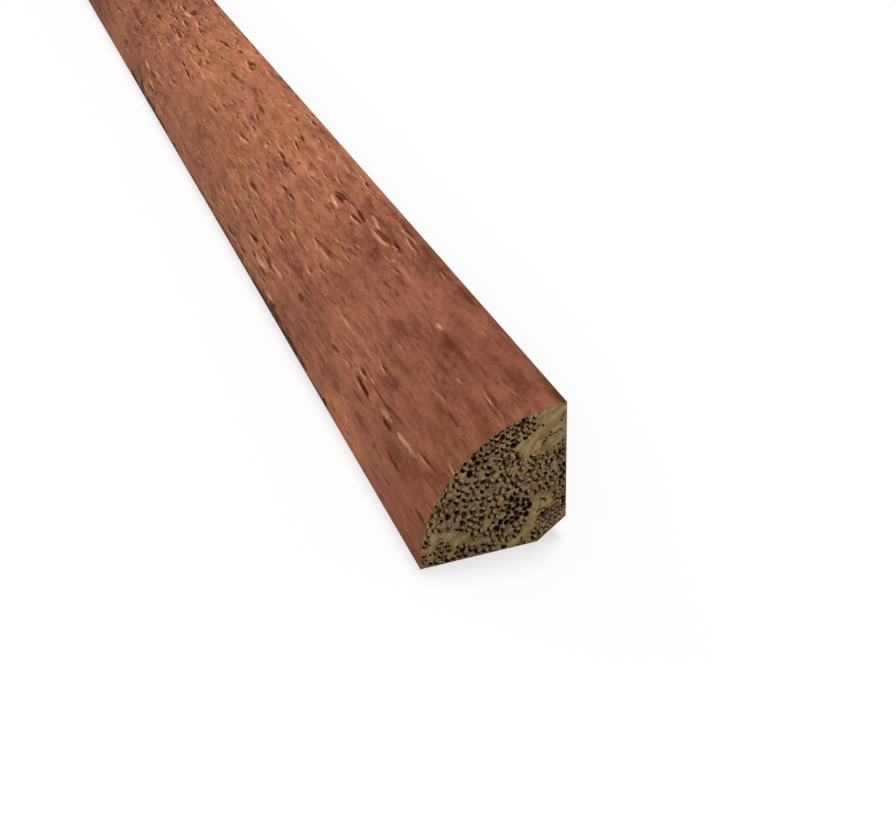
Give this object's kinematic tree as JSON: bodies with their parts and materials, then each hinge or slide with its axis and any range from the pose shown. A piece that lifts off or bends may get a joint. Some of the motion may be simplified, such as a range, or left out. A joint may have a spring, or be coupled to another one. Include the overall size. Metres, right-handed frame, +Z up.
{
  "type": "quarter round moulding",
  "caption": "Straight quarter round moulding of strand-woven bamboo with a stained, hand-scraped rounded face, to cover the gap where a floor meets a wall or skirting.",
  "frame": {"origin": "middle of the bounding box at its base: halfway along the stick, halfway across, on the plane of the floor leg", "axes": "+Y along the length, away from the end that the picture shows; +X out of the wall leg, towards the wall; +Z up, away from the floor"},
  "size_m": [0.019, 1.8288, 0.0191],
  "materials": {
    "stained_bamboo": "satin"
  },
  "bodies": {
    "root": {"quarter_round": "stained_bamboo"}
  },
  "joints": []
}
